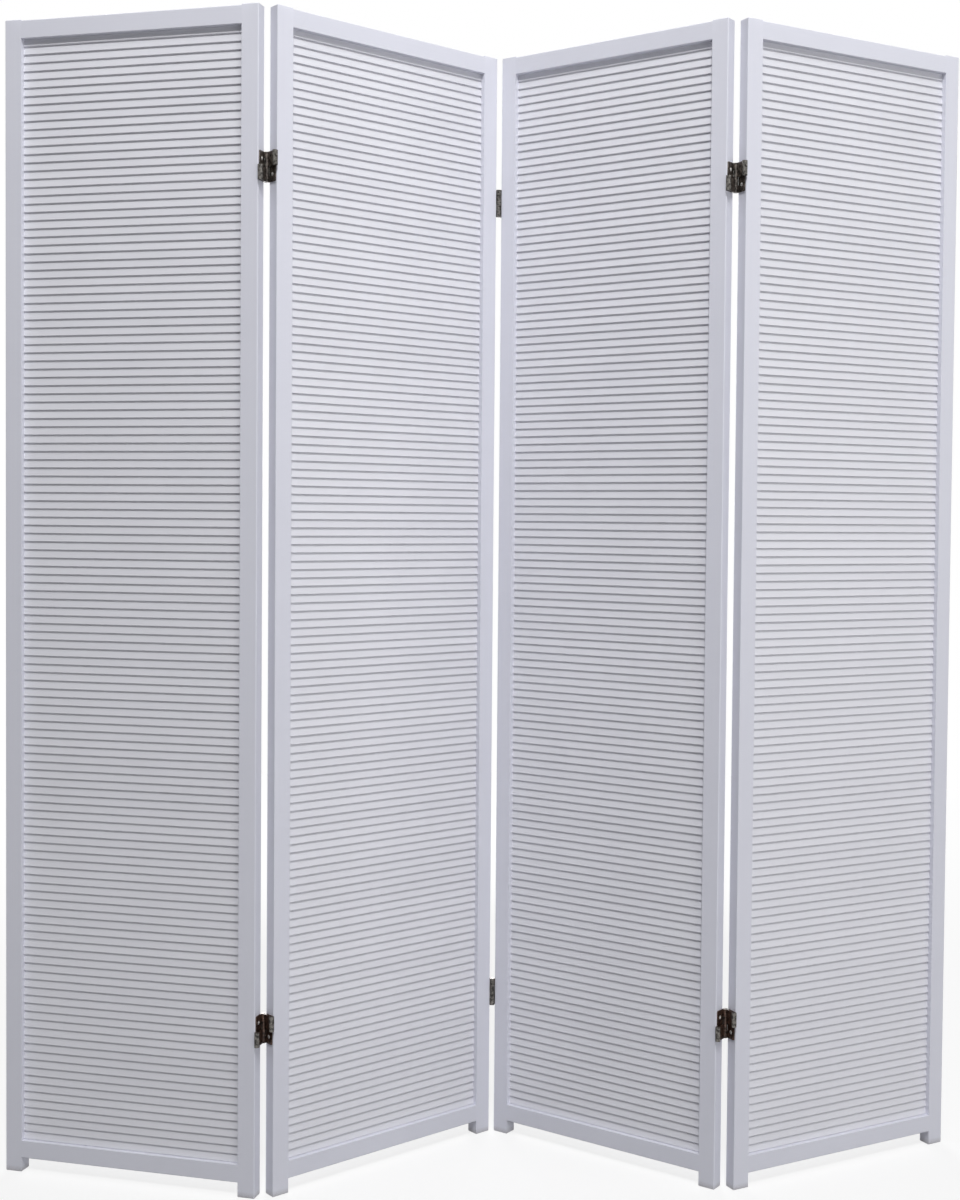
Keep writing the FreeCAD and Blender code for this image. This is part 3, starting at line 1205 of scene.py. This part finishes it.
def panel_places(panel: PanelSizes, hinge: HingeSizes) -> dict[int, Matrix]:
    """Work out where the panels stand from the frame's hinge lines.

    The lines end their travel with the panels in a row, so each panel's heading follows from the range that
    is left to that end.

    Args:
        panel: The sizes of a panel.
        hinge: The sizes of a hinge.

    Returns:
        The place of each panel's frame, by the panel's number.
    """
    joints = {joint["name"]: joint for joint in frame["joints"]}
    axes = {name: Vector((*joint["pos_m"][:2], 0.0)) for name, joint in joints.items()}
    ends = {name: [math.radians(end) for end in joint["range_deg"]] for name, joint in joints.items()}
    front = panel.thickness / 2.0 - hinge.pivot_reach
    back = panel.thickness / 2.0 + hinge.pivot_reach
    left = -hinge.barrel_radius
    right = panel.width + hinge.barrel_radius
    run = axes["middle_hinge"] - axes["left_hinge"]
    second = math.atan2(run.y, run.x) - math.atan2(front - back, right - left)
    third = second - ends["middle_hinge"][1]
    stands = {
        1: (axes["left_hinge"], second - ends["left_hinge"][1], Vector((right, back, 0.0))),
        2: (axes["left_hinge"], second, Vector((left, back, 0.0))),
        3: (axes["middle_hinge"], third, Vector((left, front, 0.0))),
        4: (axes["right_hinge"], third - ends["right_hinge"][0], Vector((left, back, 0.0))),
    }
    return {
        number: Matrix.Translation(axis) @ Matrix.Rotation(heading, 4, UP) @ Matrix.Translation(-pivot)
        for number, (axis, heading, pivot) in stands.items()
    }


@dataclass(frozen=True)
class PhotoCamera:
    """The photograph's viewpoint: a slight dip and roll, and an image centre off the lens's axis."""

    place: Place = (0.095654, -2.451972, 0.981436)
    dip: float = math.radians(1.7375)
    roll: float = math.radians(0.5374)
    focal_px: float = 1629.0
    axis_px: Span = (554.60, 566.86)
    image_px: Span = (960.0, 1200.0)
    sensor_height: float = 36.0

    def build(self) -> bpy.types.Object:
        """Set up the camera and return it."""
        width, height = self.image_px
        lens = bpy.data.cameras.new("photo_camera")
        lens.sensor_fit = "VERTICAL"
        lens.sensor_height = self.sensor_height
        lens.lens = self.sensor_height * self.focal_px / height
        lens.shift_x = (width / 2.0 - self.axis_px[0]) / height
        lens.shift_y = (self.axis_px[1] - height / 2.0) / height
        camera = bpy.data.objects.new("photo_camera", lens)
        tilt = Matrix.Rotation(math.pi / 2.0 - self.dip, 4, ACROSS)
        roll = Matrix.Rotation(self.roll, 4, UP)
        camera.matrix_world = Matrix.Translation(self.place) @ tilt @ roll
        bpy.context.scene.collection.objects.link(camera)
        bpy.context.scene.camera = camera
        return camera


@dataclass(frozen=True)
class SoftBox:
    """A soft white lamp."""

    name: str
    place: Place
    aim: Place
    width: float
    height: float
    watts: float

    def build(self) -> bpy.types.Object:
        """Hang the lamp and return it."""
        lamp = bpy.data.lights.new(self.name, "AREA")
        lamp.shape = "RECTANGLE"
        lamp.size = self.width
        lamp.size_y = self.height
        lamp.energy = self.watts
        box = bpy.data.objects.new(self.name, lamp)
        box.location = self.place
        beam = Vector(self.aim) - Vector(self.place)
        box.rotation_euler = beam.to_track_quat("-Z", "Y").to_euler()
        bpy.context.scene.collection.objects.link(box)
        return box


@dataclass(frozen=True)
class Studio:
    """A white room: a pale floor that keeps the divider's shadow, a white surround and soft lamps."""

    floor_size: float = 24.0
    shadow_reach: float = 1.6
    fade: float = 2.2
    floor_white: Colour = (0.90, 0.90, 0.90)
    floor_bounce: Colour = (0.34, 0.34, 0.34)
    shadow_share: float = 0.25
    ambient_strength: float = 0.115
    lamps: tuple[SoftBox, ...] = (
        SoftBox("high_front", (0.3, -4.0, 6.0), (0.0, 0.0, 0.8), 1.0, 1.0, 232.0),
        SoftBox("overhead", (0.0, -0.5, 3.6), (0.0, 0.0, 0.0), 2.6, 2.2, 13.0),
        SoftBox("high_near", (0.2, -1.0, 2.9), (-0.1, 0.0, 1.4), 0.6, 0.6, 6.0),
        SoftBox("side_right", (3.0, -1.0, 1.8), (0.0, 0.0, 0.9), 1.0, 1.2, 9.0),
        SoftBox("low_right", (2.2, -3.0, 0.8), (0.0, 0.0, 0.8), 1.6, 1.2, 23.0),
        SoftBox("behind", (-0.4, 4.0, 1.8), (0.0, 0.0, 0.9), 2.0, 2.0, 110.0),
    )

    def build(self) -> None:
        """Set up the floor, the surround and the lamps."""
        self.lay_floor()
        self.light_surround()
        for lamp in self.lamps:
            lamp.build()
        bpy.context.scene.view_settings.view_transform = "Standard"

    def lay_floor(self) -> bpy.types.Object:
        """Lay the floor and return it."""
        mesh = bmesh.new()
        bmesh.ops.create_grid(mesh, x_segments=1, y_segments=1, size=self.floor_size / 2.0)
        data = bpy.data.meshes.new("floor")
        mesh.to_mesh(data)
        mesh.free()
        data.materials.append(self.floor_paint())
        floor = bpy.data.objects.new("floor", data)
        bpy.context.scene.collection.objects.link(floor)
        return floor

    def floor_paint(self) -> bpy.types.Material:
        """Return the floor's material: matt near the divider, fading to plain white away from it."""
        material = bpy.data.materials.new("white_floor")
        material.use_nodes = True
        bench = NodeBench(material.node_tree)
        material.node_tree.nodes.clear()
        grey = bench.add("ShaderNodeBsdfDiffuse", {"Color": (*self.floor_bounce, 1.0)}).outputs["BSDF"]
        matt = bench.add("ShaderNodeBsdfDiffuse", {"Color": (*self.floor_white, 1.0)}).outputs["BSDF"]
        white = bench.add("ShaderNodeEmission", {"Color": WHITE, "Strength": 1.0}).outputs["Emission"]
        distance = bench.add("ShaderNodeVectorMath", operation="LENGTH")
        bench.wire(bench.add("ShaderNodeTexCoord").outputs["Object"], distance.inputs[0])
        edge = self.shadow_reach + self.fade
        plain = 1.0 - self.shadow_share
        far = bench.mapped(distance.outputs["Value"], self.shadow_reach, edge, plain, 1.0)
        floor = bench.mixed(bench.seen_ray(), grey, bench.mixed(far, matt, white))
        bench.wire(floor, bench.add("ShaderNodeOutputMaterial").inputs["Surface"])
        return material

    def light_surround(self) -> None:
        """Surround the divider with soft light that shows as plain white."""
        world = bpy.data.worlds.new("white_room")
        world.use_nodes = True
        bench = NodeBench(world.node_tree)
        world.node_tree.nodes.clear()
        light, shown = (
            bench.add("ShaderNodeBackground", {"Color": WHITE, "Strength": strength}).outputs["Background"]
            for strength in (self.ambient_strength, 1.0)
        )
        surround = bench.mixed(bench.seen_ray(), light, shown)
        bench.wire(surround, bench.add("ShaderNodeOutputWorld").inputs["Surface"])
        bpy.context.scene.world = world


def main() -> None:
    """Build the camera, the studio, the panels and the hinges."""
    logging.basicConfig(level=logging.INFO, format="%(message)s")
    PhotoCamera().build()
    Studio().build()
    panel = PanelSizes()
    hinge = HingeSizes()
    finishes = Finishes.make()
    places = panel_places(panel, hinge)
    for number, place in places.items():
        Panel(number, place, panel, finishes).build()
    lines = (
        ("left_hinge", 1, Pivot.BEHIND),
        ("middle_hinge", 2, Pivot.FRONT),
        ("right_hinge", 3, Pivot.BEHIND),
    )
    for name, left_panel, pivot in lines:
        HingeLine(name, left_panel, pivot, places, panel, hinge, finishes).build()


if __name__ == "__main__":
    main()
